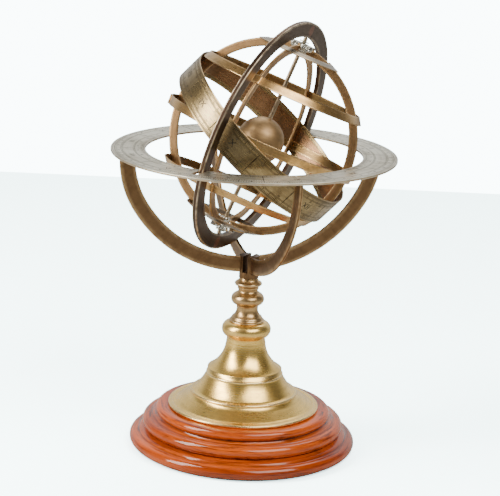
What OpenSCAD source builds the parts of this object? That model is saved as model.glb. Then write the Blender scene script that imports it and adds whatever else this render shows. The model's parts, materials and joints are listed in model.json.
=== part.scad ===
// Table-top armillary sphere: a cage of graduated rings that spins on a tilted
// axis inside a meridian ring, which turns in the notches of a horizon ring
// carried by four arms on a turned stand.
// Origin: centre of the underside. +Z up. The notches lie on the Y axis.

/* [Wood base] */
// Radius of the bottom tier
base_r = 80.7; // [75:0.5:90]
// Height of the wood, without the felt
base_h = 28.6; // [26:0.2:32]
// Thickness of the felt pad under the wood
felt_t = 1; // [0.5:0.5:2]

/* [Foot and column] */
// Radius of the bell foot at its rim
foot_r = 53.8; // [50:0.5:58]
// Height of the foot's shoulder above the table
foot_top = 92.4; // [88:0.2:98]
// Height where the column ends and the slotted head begins
column_top = 124.6; // [120:0.2:130]
// Radius of the slotted head
head_r = 7; // [6:0.5:8]
// Height of the head's top above the table
head_top = 140.6; // [138:0.2:142]

/* [Cradle] */
// Half width of the cradle across its arms
cradle_a = 97; // [96:0.5:99]
// Depth of the cradle below the horizon ring
cradle_b = 85.1; // [82:0.5:88]
// Radius of each arm where it turns up at the side
cradle_side_r = 70; // [60:1:74]
// Width of an arm
arm_w = 11.2; // [9:0.2:11.2]
// Thickness of an arm
arm_t = 2; // [1.5:0.5:3]

/* [Horizon ring] */
// Outer radius of the horizon ring
horizon_r = 100; // [98:0.5:110]
// Inner radius of the horizon ring
horizon_bore_r = 75.7; // [75.7:0.1:77]
// Thickness of the horizon ring
horizon_t = 1.6; // [1.2:0.2:2.4]
// Height of the horizon ring's top above the table
horizon_z = 215.4; // [210:0.2:220]
// Width of the two notches that the meridian ring stands in
notch_w = 4.6; // [4.4:0.2:6]

/* [Meridian ring] */
// Outer radius of the meridian ring
meridian_r = 86; // [85:0.5:87]
// Radial width of the meridian ring
meridian_w = 11; // [9:0.5:11]
// Thickness of the meridian ring
meridian_t = 3.2; // [2.8:0.1:3.3]
// Lean of the meridian ring from upright
lean = 17; // [0:1:17]
// How far the ring's centre stands above the notches, in the ring's plane
lift = 11.9; // [11.9:0.1:12.5]
// How far the ring's centre lies behind the middle of the notches
slide = 4; // [0:0.5:4]
// Angle of the polar axis from the ring's upright line, in the ring's plane
latitude_turn = 15; // [0:5:90]

/* [Sphere] */
// Radius of the colures' outer edges
sphere_r = 69; // [60:0.5:69]
// Radial width of a colure
colure_w = 6.2; // [4:0.2:8]
// Thickness of a colure
colure_t = 1.6; // [1.2:0.2:2]
// Thickness of the strip that the hoops are bent from
strip_t = 0.8; // [0.6:0.1:0.9]
// Width of the strip that the hoops are bent from
strip_w = 6.4; // [4:0.2:7]
// Latitude of the northern tropic hoop
tropic_north_lat = 32.8; // [30:0.2:38]
// Latitude of the southern tropic hoop, which sits a little lower than its twin
tropic_south_lat = 37.4; // [30:0.2:38]
// Latitude of the two polar rings
polar_lat = 67; // [60:0.2:68]
// How far south of the true equator the equator hoop sits
equator_drop = 1.6; // [0:0.2:1.6]
// Width of the zodiac band
zodiac_w = 21; // [16:0.2:21]
// Tilt of the zodiac band to the equator
obliquity = 24.5; // [23:0.5:24.5]
// Turn about the poles of the direction in which the zodiac band is tilted
band_turn = -9; // [-10:1:0]
// Radius of the earth ball
ball_r = 16.6; // [10:0.2:17]
// How far the ball sits below the sphere's centre, along the rod
ball_drop = 3; // [0:0.5:4]
// Diameter of the axis rod
rod_d = 3; // [2.6:0.1:3.2]
// Turn of the sphere about its axis, away from the meridian ring's plane
sphere_turn = 2; // [0:1:10]

/* [Hidden] */
$fn = 96;

brass = "goldenrod";
antique = "peru";
bronze = "saddlebrown";
silvered = "silver";

base_top = felt_t + base_h;
tier_r = [base_r, base_r - 9, base_r - 18.4];
rod_hole_d = 7;
recess_r = 13;
recess_top = 11;
stud_d = 6;
stud_top = foot_top + 12;
collar_r = 17.5;
arm_turn = 45;
cradle_z = horizon_z - horizon_t;
cradle_base_r = (cradle_a * cradle_a - 2 * cradle_a * cradle_side_r + cradle_b * cradle_b)
    / (2 * (cradle_b - cradle_side_r));
cradle_side_x = cradle_a - cradle_side_r;
cradle_base_z = cradle_base_r - cradle_b;
arm_bend = atan2(cradle_base_z, cradle_side_x);
arm_root_r = 5;
bend_step = 0.05;
bend_lap = 0.5;
tenon_l = 6;
tenon_h = 0.8;
slot_w = meridian_t + 0.6;
slot_floor = 129;
notch_r = 89.8;
hinge_z = horizon_z - horizon_t / 2;
meridian_bore_r = meridian_r - meridian_w;
tip_d = 1.4;
tip_r = meridian_r - 2;
fit = 0.05;
bush_d = 2.4;
hub_r = 6;
hub_foot_r = sphere_r - colure_w - 1;
hub_top_r = sphere_r + 2.2;
washer_t = 0.8;
strip_r = sphere_r + 0.08;
zodiac_r = sphere_r + 0.2;
pin_d = 0.8;
pin_l = 3;

// points of an arc, for profiles
function arc(c, r, a0, a1, n = 10) =
    [for (i = [0:n]) c + r * [cos(a0 + (a1 - a0) * i / n), sin(a0 + (a1 - a0) * i / n)]];

// lays its children along the sphere's own axes: Z is the polar axis, X stands square to
// the meridian ring's plane, and the origin is the centre of the ring
module in_meridian() {
    translate([0, 0, hinge_z]) rotate([0, lean, 0]) translate([0, slide, lift])
        rotate([-latitude_turn, 0, 0]) children();
}

module in_sphere() {
    in_meridian() rotate([0, 0, sphere_turn]) children();
}

// turns its children end for end about X where side is negative
module facing(side) {
    rotate([side < 0 ? 180 : 0, 0, 0]) children();
}

// a flat ring in the XY plane, centred on its own thickness
module flat_ring(r, bore, t) {
    difference() {
        cylinder(h = t, r = r, center = true);
        cylinder(h = 3 * t, r = bore, center = true);
    }
}

// a hoop of strip lying on a sphere of outer radius r, centred on a latitude; its seam is turned away
// from the colures
module hoop(r, w, latitude) {
    rotate([0, 0, 45]) rotate_extrude()
        rotate(latitude) translate([r - strip_t, -w / 2]) square([strip_t, w]);
}

// ---- base ----

// half-round edge of one tier, from height z0 to z1
function tier(r, z0, z1) =
    arc([r - (z1 - z0) / 2, (z0 + z1) / 2], (z1 - z0) / 2, -90, 90);

module felt_pad() {
    color("darkgreen") difference() {
        cylinder(h = felt_t, r = base_r - 5);
        translate([0, 0, -1]) cylinder(h = felt_t + 2, r = recess_r + 3);
    }
}

module wood_base() {
    profile = concat(
        [[0, felt_t]],
        tier(tier_r[0], felt_t, felt_t + 9),
        [[tier_r[0] - 6.2, felt_t + 9], [tier_r[0] - 6.2, felt_t + 10.6],
         [tier_r[0] - 8.2, felt_t + 10.6], [tier_r[0] - 11.5, felt_t + 12]],
        tier(tier_r[1], felt_t + 12, felt_t + 20.8),
        [[tier_r[1] - 7.4, felt_t + 20.8], [tier_r[1] - 7.4, felt_t + 22]],
        tier(tier_r[2], felt_t + 22, base_top),
        [[0, base_top]]);
    color("chocolate") difference() {
        rotate_extrude() polygon(profile);
        cylinder(h = 3 * base_top, d = rod_hole_d, center = true);
        cylinder(h = 2 * recess_top, r = recess_r, center = true);
    }
}

module base_washer() {
    color(silvered) translate([0, 0, recess_top - 1.6]) difference() {
        cylinder(h = 1.6, r = 11);
        cylinder(h = 9, d = stud_d + 0.6, center = true);
    }
}

module base_nut() {
    color(silvered) translate([0, 0, recess_top - 6.6]) difference() {
        cylinder(h = 5, d = 11.5, $fn = 6);
        cylinder(h = 20, d = stud_d, center = true);
    }
}

module tie_rod() {
    color(silvered) translate([0, 0, recess_top - 8.6])
        cylinder(h = stud_top - recess_top + 8.6, d = stud_d);
}

// ---- foot and column ----

module foot() {
    rim_z = base_top;
    outside = concat(
        [[foot_r - 4, rim_z]],
        arc([foot_r - 1.2, rim_z + 1.2], 1.2, -90, 120, 8),
        [[45, rim_z + 5.2], [37.8, rim_z + 9.8]],
        arc([36.8, rim_z + 11], 1, -30, 90, 6),
        [[34.4, rim_z + 13.8], [30.4, rim_z + 18.2], [27.8, rim_z + 23.4]],
        arc([26.5, rim_z + 24.6], 0.9, -20, 100, 6),
        arc([38.4, rim_z + 49.6], 24.4, 241, 183, 12),
        arc([collar_r - 5.6, foot_top - 5.6], 5.6, -70, 90, 12),
        [[0, foot_top]]);
    inside = [[0, rim_z - 1], [49, rim_z - 1], [49, rim_z + 0.6], [42, rim_z + 3.6],
        [34, rim_z + 10], [25.5, rim_z + 21], [17.5, rim_z + 28.5], [11.4, rim_z + 39],
        [11.4, rim_z + 46], [0, rim_z + 46]];
    color(brass) difference() {
        rotate_extrude() polygon(concat([[0, rim_z]], outside));
        rotate_extrude() polygon(inside);
        cylinder(h = 3 * foot_top, d = stud_d + 0.4, center = true);
    }
}

module column() {
    z = foot_top;
    profile = concat(
        [[0, z], [12.6, z], [12.6, z + 1.6], [11.2, z + 2], [10.8, z + 3.4]],
        arc([14.6, z + 9.4], 7, 238, 175, 8),
        arc([7.4, z + 16.6], 4.3, -60, 66, 10),
        [[6.9, z + 22.4], [6.9, z + 23.8], [7.5, z + 24.2], [7.5, z + 25.4], [7.9, z + 26]],
        [[9.6, z + 27.4], [9.6, z + 28.2], [7.6, z + 30]],
        [[6.6, z + 31.2], [6.6, column_top], [0, column_top]]);
    color(antique) difference() {
        rotate_extrude() polygon(profile);
        translate([0, 0, z - 1]) cylinder(h = stud_top - z + 1, d = stud_d);
    }
}

// ---- cradle ----

// bar of rectangular section bent to an arc in the XZ plane, about the point [x, z]
module bent_bar(x, z, r, w, from, sweep) {
    translate([x, 0, z]) rotate([90, 0, 0])
        rotate([0, 0, from]) rotate_extrude(angle = sweep)
            translate([r - w, -arm_t / 2]) square([w, arm_t]);
}

// one arm in the XZ plane: a flat bend under the sphere, a tighter one up to the horizon
// ring, a hair narrower and starting inside the first, and a tenon let into the ring
module arm_shape() {
    root_angle = asin(arm_root_r / (cradle_base_r - arm_w / 2));
    union() {
        bent_bar(0, cradle_z + cradle_base_z, cradle_base_r, arm_w, root_angle - 90,
            90 - root_angle - arm_bend);
        bent_bar(cradle_side_x, cradle_z, cradle_side_r - bend_step, arm_w - 2 * bend_step,
            -arm_bend - bend_lap, arm_bend + bend_lap);
        translate([cradle_a - arm_w / 2 - tenon_l / 2, -arm_t / 2, cradle_z - 1])
            cube([tenon_l, arm_t, tenon_h + 1]);
    }
}

module cradle_arm(turn) {
    color(antique) rotate([0, 0, turn]) arm_shape();
}

module cradle_head() {
    color(antique) difference() {
        translate([0, 0, column_top]) cylinder(h = head_top - column_top, r = head_r);
        translate([-slot_w / 2, -head_r - 1, slot_floor])
            cube([slot_w, 2 * head_r + 2, head_top]);
        for (i = [0:3]) rotate([0, 0, arm_turn + 90 * i]) arm_shape();
    }
}

module horizon_ring() {
    color("darkgray") difference() {
        translate([0, 0, hinge_z]) flat_ring(horizon_r, horizon_bore_r, horizon_t);
        for (side = [-1, 1])
            translate([-notch_w / 2, side < 0 ? -notch_r : 0, cradle_z - 1])
                cube([notch_w, notch_r, horizon_t + 2]);
        for (i = [0:3]) rotate([0, 0, arm_turn + 90 * i]) arm_shape();
    }
}

// ---- meridian ring and axis ----

module meridian_ring() {
    color(bronze) in_meridian() difference() {
        rotate([0, 90, 0]) flat_ring(meridian_r, meridian_bore_r, meridian_t);
        for (side = [-1, 1]) translate([0, 0, side * meridian_r])
            cylinder(h = 2 * meridian_w + 4, d = bush_d, center = true);
    }
}

module pole_bush(side) {
    color("sienna") in_meridian() facing(side) translate([0, 0, meridian_bore_r])
        difference() {
            cylinder(h = meridian_w - 0.3, d = bush_d);
            translate([0, 0, -1]) cylinder(h = meridian_w - 0.8, d = tip_d + 2 * fit);
        }
}

module axis_rod() {
    color(antique) in_meridian() {
        cylinder(h = 2 * meridian_bore_r - 0.8, d = rod_d, center = true);
        cylinder(h = 2 * tip_r, d = tip_d, center = true);
    }
}

module earth_ball() {
    color("tan") in_meridian() translate([0, 0, -ball_drop]) difference() {
        sphere(r = ball_r);
        cylinder(h = 3 * ball_r, d = rod_d, center = true);
    }
}

module pole_washer(side) {
    color(silvered) in_meridian() facing(side)
        translate([0, 0, hub_top_r + 2 * fit]) difference() {
            cylinder(h = washer_t, r = 3.4);
            cylinder(h = 9, d = rod_d, center = true);
        }
}

// ---- sphere ----

module pole_hub(side) {
    color(silvered) in_sphere() facing(side) difference() {
        rotate_extrude() polygon(concat(
            [[0, hub_foot_r], [hub_r - 2, hub_foot_r]],
            [[hub_r, hub_foot_r + 2], [hub_r, sphere_r]],
            [[hub_r - 2.2, hub_top_r], [0, hub_top_r]]));
        cylinder(h = 3 * sphere_r, d = rod_d + 2 * fit, center = true);
        for (i = [0:3]) rotate([0, 0, 90 * i]) colure_blank();
    }
}

// half a flat ring in the XZ plane from pole to pole, cut back to leave room for the rod
module colure_blank() {
    intersection() {
        rotate([90, 0, 0]) flat_ring(sphere_r, sphere_r - colure_w, colure_t);
        translate([rod_d, -5, -sphere_r - 5]) cube([sphere_r, 10, 2 * sphere_r + 10]);
    }
}

// the five hoops that are let into the colures' outer edges
module strip_hoops() {
    for (latitude = [-polar_lat, -tropic_south_lat, -equator_drop, tropic_north_lat, polar_lat])
        hoop(strip_r, strip_w, latitude);
}

// latitude of the pin that holds the band to a colure: where their middles cross, except near the
// equator, where the pin stands further out to miss the equator hoop
function pin_latitude(i) =
    -(i % 2 == 0 ? 1 : 1.8) * atan(tan(obliquity) * cos(90 * i - band_turn));

// the pins that hold the band to each colure
module band_pins() {
    for (i = [0:3]) rotate([0, 0, 90 * i]) rotate([0, 90 - pin_latitude(i), 0])
        translate([0, 0, sphere_r - pin_l])
            cylinder(h = zodiac_r + strip_t + 0.2 - sphere_r + pin_l, d = pin_d, $fn = 24);
}

module colure(turn) {
    color(antique) in_sphere() difference() {
        rotate([0, 0, turn]) colure_blank();
        strip_hoops();
        band_pins();
    }
}

module polar_ring(side) {
    color(silvered) in_sphere() hoop(strip_r, strip_w, side * polar_lat);
}

module tropic(latitude) {
    color("burlywood") in_sphere() hoop(strip_r, strip_w, latitude);
}

module equator_ring() {
    color("burlywood") in_sphere() hoop(strip_r, strip_w, -equator_drop);
}

module zodiac_band() {
    color("darkkhaki") in_sphere() difference() {
        rotate([0, 0, band_turn]) rotate([0, obliquity, 0]) hoop(zodiac_r + strip_t, zodiac_w, 0);
        band_pins();
    }
}

module zodiac_pins() {
    color(antique) in_sphere() band_pins();
}

felt_pad();
wood_base();
base_washer();
base_nut();
tie_rod();
foot();
column();
cradle_head();
cradle_arm(-arm_turn);  // cradle_arm_east
cradle_arm(arm_turn);  // cradle_arm_north
cradle_arm(arm_turn + 90);  // cradle_arm_west
cradle_arm(arm_turn + 180);  // cradle_arm_south
horizon_ring();
meridian_ring();
pole_bush(1);  // pole_bush_north
pole_bush(-1);  // pole_bush_south
axis_rod();
earth_ball();
pole_washer(1);  // pole_washer_north
pole_washer(-1);  // pole_washer_south
pole_hub(1);  // pole_hub_north
pole_hub(-1);  // pole_hub_south
colure(0);  // colure_east
colure(90);  // colure_north
colure(180);  // colure_west
colure(270);  // colure_south
polar_ring(1);  // polar_ring_north
polar_ring(-1);  // polar_ring_south
tropic(tropic_north_lat);  // tropic_north
tropic(-tropic_south_lat);  // tropic_south
equator_ring();
zodiac_band();
zodiac_pins();
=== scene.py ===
import json
import math
from functools import reduce

import bmesh
import bpy
import numpy as np
from mathutils import Matrix, Vector


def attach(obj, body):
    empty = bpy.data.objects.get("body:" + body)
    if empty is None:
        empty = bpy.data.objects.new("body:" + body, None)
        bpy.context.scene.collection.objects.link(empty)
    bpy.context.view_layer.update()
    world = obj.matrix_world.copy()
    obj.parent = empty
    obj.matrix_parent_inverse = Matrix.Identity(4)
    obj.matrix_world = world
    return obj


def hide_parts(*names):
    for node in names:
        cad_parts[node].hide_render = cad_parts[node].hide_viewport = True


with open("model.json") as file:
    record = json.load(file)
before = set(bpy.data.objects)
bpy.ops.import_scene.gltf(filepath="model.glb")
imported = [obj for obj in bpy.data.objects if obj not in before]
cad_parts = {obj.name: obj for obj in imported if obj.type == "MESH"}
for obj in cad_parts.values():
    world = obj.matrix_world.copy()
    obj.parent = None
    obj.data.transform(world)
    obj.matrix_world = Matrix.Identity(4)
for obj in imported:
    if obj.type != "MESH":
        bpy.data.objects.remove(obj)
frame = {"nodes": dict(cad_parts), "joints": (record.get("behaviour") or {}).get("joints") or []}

# The looks of a table-top armillary sphere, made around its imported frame. Every surface takes its
# place and size from the frame's own nodes and joints; lengths here are in metres.

bl_info = {
    "name": "Armillary Sphere",
    "version": (1, 0, 0),
    "blender": (4, 5, 0),
    "location": "View3D > Sidebar > Armillary",
    "description": "Builds the turned, bent and engraved surfaces of an armillary sphere",
    "category": "Add Mesh",
}

MM = 0.001
TAU = 2 * math.pi
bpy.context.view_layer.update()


# ---- places: an origin and three unit vectors, found in the frame ----

def joint(name):
    """The frame's joint of that name, as (point on its axis, unit axis)."""
    found = next(j for j in frame["joints"] if j["name"] == name)
    axis = np.array(found["axis"], float)
    return np.array(found["pos_m"], float), axis / np.linalg.norm(axis)


def node_points(node):
    """Every vertex of a CAD node, one row each."""
    mesh = frame["nodes"][node].data
    points = np.empty(len(mesh.vertices) * 3, np.float32)
    mesh.vertices.foreach_get("co", points)
    return points.reshape(-1, 3).astype(float)


def place_at(origin, z, towards):
    """A place whose Z is z and whose X points as near to towards as it can."""
    x = towards - z * np.dot(towards, z)
    x = x / np.linalg.norm(x)
    return np.asarray(origin, float), np.array([x, np.cross(z, x), z])


def turned_place(place, axis, angle):
    """The place turned by an angle about one of its own axes, 0 for X to 2 for Z."""
    origin, basis = place
    turn = np.array(Matrix.Rotation(angle, 3, Vector(basis[axis])))
    return origin, basis @ turn.T


def onto(place, x, y, z):
    """Points given along the place's axes, in the row frame. The coordinates broadcast together."""
    origin, basis = place
    x, y, z = np.broadcast_arrays(x, y, z)
    return origin + x[..., None] * basis[0] + y[..., None] * basis[1] + z[..., None] * basis[2]


def round_axis(place, angle, radius, height):
    """Points at an angle round the place's Z axis, at a radius and a height."""
    return onto(place, radius * np.cos(angle), radius * np.sin(angle), height)


def local_points(node, place):
    """Every vertex of a CAD node, along a place's own axes."""
    return (node_points(node) - place[0]) @ place[1].T


def reach(node, place):
    """How far a node reaches from the place's Z axis and along it: r low, r high, z low, z high."""
    local = local_points(node, place)
    r = np.hypot(local[:, 0], local[:, 1])
    return r.min(), r.max(), local[:, 2].min(), local[:, 2].max()


STAND = (np.zeros(3), np.eye(3))
CENTRE, RING_NORMAL = joint("meridian_turn")
POLE = joint("sphere_spin")[1]
MERIDIAN = place_at(CENTRE, RING_NORMAL, POLE)
SPHERE = place_at(CENTRE, POLE, node_points("colure_east").mean(0) - CENTRE)
ROD = place_at(CENTRE, POLE, RING_NORMAL)


# ---- surfaces on a grid ----

def new_object(name, points, faces):
    """A mesh object, not yet linked."""
    mesh = bpy.data.meshes.new(name)
    mesh.from_pydata(points.tolist(), [], faces)
    return bpy.data.objects.new(name, mesh)


def grid_cells(rows, columns, wrap_rows=False, wrap_columns=False):
    """The quads of a grid of points numbered row by row. A wrapped side joins its end to its start."""
    u0, v0 = np.meshgrid(np.arange(rows if wrap_rows else rows - 1),
                         np.arange(columns if wrap_columns else columns - 1), indexing="ij")
    u1, v1 = (u0 + 1) % rows, (v0 + 1) % columns
    cells = [u0 * columns + v0, u1 * columns + v0, u1 * columns + v1, u0 * columns + v1]
    return np.stack(cells, -1).reshape(-1, 4)


def grid_object(name, points, body, replaces=(), slot=None, edge=None, wrap_u=True):
    """A closed surface through points[u, v]: each grid cell is one quad. v always wraps round; where u
    doesn't, each end is capped with one face. edge is a value from 0 to 1 for each v, or for each
    point, and is kept as the attribute of that name."""
    count_u, count_v = points.shape[:2]
    flat = points.reshape(-1, 3)
    faces = grid_cells(count_u, count_v, wrap_u, True).tolist()
    if not wrap_u:
        faces.append(list(range(count_v)))
        faces.append(list(range(count_u * count_v - 1, (count_u - 1) * count_v - 1, -1)))
    if signed_volume(flat, faces) < 0:
        faces = [face[::-1] for face in faces]
    piece = new_object(name, flat, faces)
    piece.data.shade_smooth()
    if edge is not None:
        marked(piece, "edge", np.broadcast_to(edge, (count_u, count_v)))
    return settled(piece, body, replaces, slot)


def marked(piece, name, values):
    """Keeps a value from 0 to 1 at each point of a piece, as the attribute of that name."""
    made = piece.data.attributes.new(name, "FLOAT", "POINT")
    made.data.foreach_set("value", np.asarray(values, np.float32).ravel())
    return piece


def signed_volume(points, faces):
    """Six times the volume inside closed faces, each cut into a fan of triangles from its first
    corner; negative where they point inwards."""
    total = 0.0
    for size in {len(face) for face in faces}:
        ring = points[[face for face in faces if len(face) == size]]
        for i in range(1, size - 1):
            total += np.einsum("ij,ij->", ring[:, 0], np.cross(ring[:, i], ring[:, i + 1]))
    return total


def settled(piece, body, replaces=(), slot=None):
    """Links a finished piece, and says what it rides on and stands for."""
    bpy.context.scene.collection.objects.link(piece)
    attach(piece, body)
    if replaces:
        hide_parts(*replaces)
    return piece


def box_section(a0, a1, b0, b1, round_r, arc_steps=4, flat_steps=3):
    """A closed rectangle with rounded corners: quarter circles of radius round_r joined by straight
    sides. Returns points (a, b), and 1 on the corners and 0 on the sides."""
    middle = np.array([a0 + a1, b0 + b1]) / 2
    bends = []
    for quarter, corner in enumerate(((a1, b1), (a0, b1), (a0, b0), (a1, b0))):
        angle = (quarter + np.linspace(0, 1, arc_steps + 1)) * TAU / 4
        centre = corner - np.copysign(round_r, corner - middle)
        bends.append(centre + round_r * np.stack([np.cos(angle), np.sin(angle)], -1))
    share = np.linspace(0, 1, flat_steps + 2)[1:-1, None]
    outline = []
    for bend, following in zip(bends, bends[1:] + bends[:1]):
        outline += [bend, bend[-1] * (1 - share) + following[0] * share]
    return np.concatenate(outline), np.tile([1.0] * (arc_steps + 1) + [0.0] * flat_steps, 4)


def wander(angle, size, seed):
    """A slow uneven drift of a handmade ring: a sum of sines of 2 to 6 turns whose phases follow from
    the seed, which meets itself after a full circle."""
    rng = np.random.default_rng(seed)
    total = np.zeros_like(angle)
    for wave in range(2, 7):
        total += np.sin(wave * angle + rng.uniform(0, TAU)) * rng.uniform(0.4, 1) / wave
    return size * total


def around(place, section, steps, angles=(0, TAU), drift=0.0, seed=0):
    """Section points (radius, height) carried round the place's Z axis. A full circle wraps."""
    full = abs(angles[1] - angles[0]) > TAU - 1e-6
    angle = np.linspace(*angles, steps, endpoint=not full)[:, None]
    radius = section[None, :, 0] + wander(angle, drift, seed)
    height = section[None, :, 1] + wander(angle, drift, seed + 50)
    return round_axis(place, angle, radius, height)


def arc(centre, radius, start, stop, steps=12):
    """Points of an arc round (radius, height), angles in degrees from outwards towards up."""
    angle = np.radians(np.linspace(start, stop, steps))
    return np.asarray(centre) + radius * np.stack([np.cos(angle), np.sin(angle)], -1)


def bulge(r, z0, z1):
    """Half-round edge that reaches radius r between two heights, from the lower to the upper."""
    half = (z1 - z0) / 2
    return arc((r - half, (z0 + z1) / 2), half, -90, 90, 22)


def outward(outline, sign=1):
    """0 to 1 along an outline: 1 where it turns sharply outwards, which is where metal wears bright.
    With sign -1 it is 1 where the outline turns sharply inwards, in the creases under bulges, where the wood
    gets painted shade."""
    step = np.roll(outline, -1, 0) - outline
    heading = np.arctan2(step[:, 1], step[:, 0])
    turn = np.angle(np.exp(1j * (heading - np.roll(heading, 1))))
    length = 0.5 * (np.linalg.norm(step, axis=1) + np.linalg.norm(np.roll(step, 1, 0), axis=1))
    bend = turn / np.maximum(length, 1e-6) * math.copysign(MM, turn.sum())
    return np.clip(sign * bend * 0.8, 0, 1)


# ---- shaders ----

class Wiring:
    """Adds nodes to one node tree and joins them."""

    def __init__(self, tree):
        self.tree = tree

    def feed(self, socket, value):
        """Joins an output to an input socket, or sets the socket to a plain value."""
        if isinstance(value, bpy.types.NodeSocket):
            self.tree.links.new(value, socket)
        else:
            socket.default_value = value

    def add(self, kind, inputs=None, **settings):
        """A new node with its settings; inputs maps a socket's name or number to a value or socket."""
        made = self.tree.nodes.new(kind)
        for name, value in settings.items():
            setattr(made, name, value)
        for key, value in (inputs or {}).items():
            self.feed(made.inputs[key], value)
        return made

    def sum(self, operation, a, b=0.0):
        """One step of arithmetic; returns its output."""
        return self.add("ShaderNodeMath", {0: a, 1: b}, operation=operation).outputs[0]

    def plus(self, a, b):
        """a + b"""
        return self.sum("ADD", a, b)

    def times(self, a, b):
        """a * b"""
        return self.sum("MULTIPLY", a, b)

    def apart(self, vector):
        """A vector's three coordinates."""
        return self.add("ShaderNodeSeparateXYZ", {0: vector}).outputs

    def radius(self, parts):
        """Distance from the Z axis of a point given by its coordinates."""
        return self.sum("SQRT", self.plus(self.times(parts[0], parts[0]), self.times(parts[1], parts[1])))

    def between(self, value, low, high, to_low=0.0, to_high=1.0):
        """value spread from low..high to to_low..to_high, held at both ends, with a soft step."""
        made = self.add("ShaderNodeMapRange", {0: value, 1: low, 2: high, 3: to_low, 4: to_high},
                        interpolation_type="SMOOTHSTEP")
        return made.outputs[0]

    def mix(self, factor, a, b):
        """Two colours mixed by a factor; returns the colour."""
        a, b = (c if isinstance(c, bpy.types.NodeSocket) else (*c, 1) for c in (a, b))
        return self.add("ShaderNodeMix", {0: factor, 6: a, 7: b}, data_type="RGBA").outputs[2]

    def group(self, name, build, **inputs):
        """The outputs of a shared node group with its inputs set, built when first asked for."""
        tree = bpy.data.node_groups.get(name) or build()
        return self.add("ShaderNodeGroup", inputs, node_tree=tree).outputs

    def noise(self, vector, scale, detail=3.0, roughness=0.55):
        """Noise from 0 to 1 at a scale per metre."""
        return self.add("ShaderNodeTexNoise", {"Vector": vector, "Scale": scale, "Detail": detail,
                                               "Roughness": roughness}).outputs[0]

    def attribute(self, name):
        """A value kept on the piece's points."""
        return self.add("ShaderNodeAttribute", attribute_name=name).outputs["Fac"]

    def position(self):
        """Object coordinates, in metres in the row frame."""
        return self.add("ShaderNodeTexCoord").outputs["Object"]

    def bump(self, strength, distance, height):
        """The normal of a surface roughened by a height."""
        return self.add("ShaderNodeBump", {"Strength": strength, "Distance": distance,
                                           "Height": height}).outputs[0]

    def finish(self, shader, output="ShaderNodeOutputMaterial"):
        """Sends a shader to the surface."""
        self.feed(self.add(output).inputs["Surface"], shader.outputs[0])


def new_group(name, inputs, outputs):
    """An empty shader group with named sockets: its tree, its wiring, its inputs and its outputs."""
    tree = bpy.data.node_groups.new(name, "ShaderNodeTree")
    for label in inputs:
        kind = "NodeSocketVector" if label == "Vector" else "NodeSocketFloat"
        tree.interface.new_socket(name=label, in_out="INPUT", socket_type=kind)
    for label in outputs:
        tree.interface.new_socket(name=label, in_out="OUTPUT", socket_type="NodeSocketFloat")
    w = Wiring(tree)
    return tree, w, w.add("NodeGroupInput").outputs, w.add("NodeGroupOutput").inputs


def turning_marks_group():
    """Fine marks that run round an axis: noise that changes slowly round the axis, and quickly along
    the sum of height and radius."""
    tree, w, given, out = new_group("Turning marks", ("Vector", "Fineness"), ("Marks",))
    parts = w.apart(given["Vector"])
    across = w.times(w.plus(w.radius(parts), parts[2]), given["Fineness"])
    slow_x, slow_y = (w.times(part, 18.0) for part in parts[:2])
    along = w.add("ShaderNodeCombineXYZ", {0: slow_x, 1: slow_y, 2: across}).outputs[0]
    w.feed(out["Marks"], w.noise(along, 1.0, 4.0, 0.7))
    return tree


def patina_group():
    """Uneven darkening of old brass: broad clouds broken up by small ones. Cover from 0 to 1 says how
    much of the surface it takes."""
    tree, w, given, out = new_group("Patina", ("Vector", "Size", "Cover"), ("Mask", "Speckle"))
    scale = w.sum("DIVIDE", 1.0, given["Size"])
    broad = w.noise(given["Vector"], scale, 4.0, 0.6)
    small = w.noise(given["Vector"], w.times(scale, 7.0), 4.0, 0.65)
    both = w.plus(w.times(broad, 0.7), w.times(small, 0.3))
    edge = w.sum("SUBTRACT", 0.72, w.times(given["Cover"], 0.44))
    w.feed(out["Mask"], w.between(both, w.sum("SUBTRACT", edge, 0.2), w.plus(edge, 0.2)))
    speckle = w.noise(given["Vector"], w.times(scale, 26.0), 2.0, 0.6)
    w.feed(out["Speckle"], w.between(speckle, 0.56, 0.74))
    return tree


def scale_marks_group():
    """Short cut lines round an axis, as on a dial: the angle times the number of divisions is
    compared with its nearest whole number, which gives the distance to the nearest line."""
    tree, w, given, out = new_group(
        "Scale marks", ("Vector", "Across", "Divisions", "From", "To", "Width"), ("Mask",))
    parts = w.apart(given["Vector"])
    turn = w.sum("DIVIDE", w.sum("ARCTAN2", parts[1], parts[0]), TAU)
    turns = w.times(turn, given["Divisions"])
    off = w.sum("ABSOLUTE", w.sum("SUBTRACT", turns, w.sum("ROUND", turns)))
    distance = w.times(w.sum("DIVIDE", off, given["Divisions"]), w.times(w.radius(parts), TAU))
    line = w.between(distance, w.times(given["Width"], 0.35), w.times(given["Width"], 0.65), 1.0, 0.0)
    inside = w.times(w.sum("GREATER_THAN", given["Across"], given["From"]),
                     w.sum("LESS_THAN", given["Across"], given["To"]))
    w.feed(out["Mask"], w.times(line, inside))
    return tree


def new_material(name):
    """An empty material and the wiring of its tree."""
    made = bpy.data.materials.new(name)
    made.use_nodes = True
    made.node_tree.nodes.clear()
    return made, Wiring(made.node_tree)


def place_coordinates(w, place):
    """Object coordinates turned and shifted into a place's own axes."""
    origin, basis = place
    made = w.add("ShaderNodeMapping", {"Vector": w.position(), "Location": tuple(-(basis @ origin)),
                                       "Rotation": Matrix(basis.tolist()).to_euler("XYZ")})
    return made.outputs[0]


def scaled(colour, share):
    """A colour made darker, as three numbers."""
    return tuple(share * c for c in colour)


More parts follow.
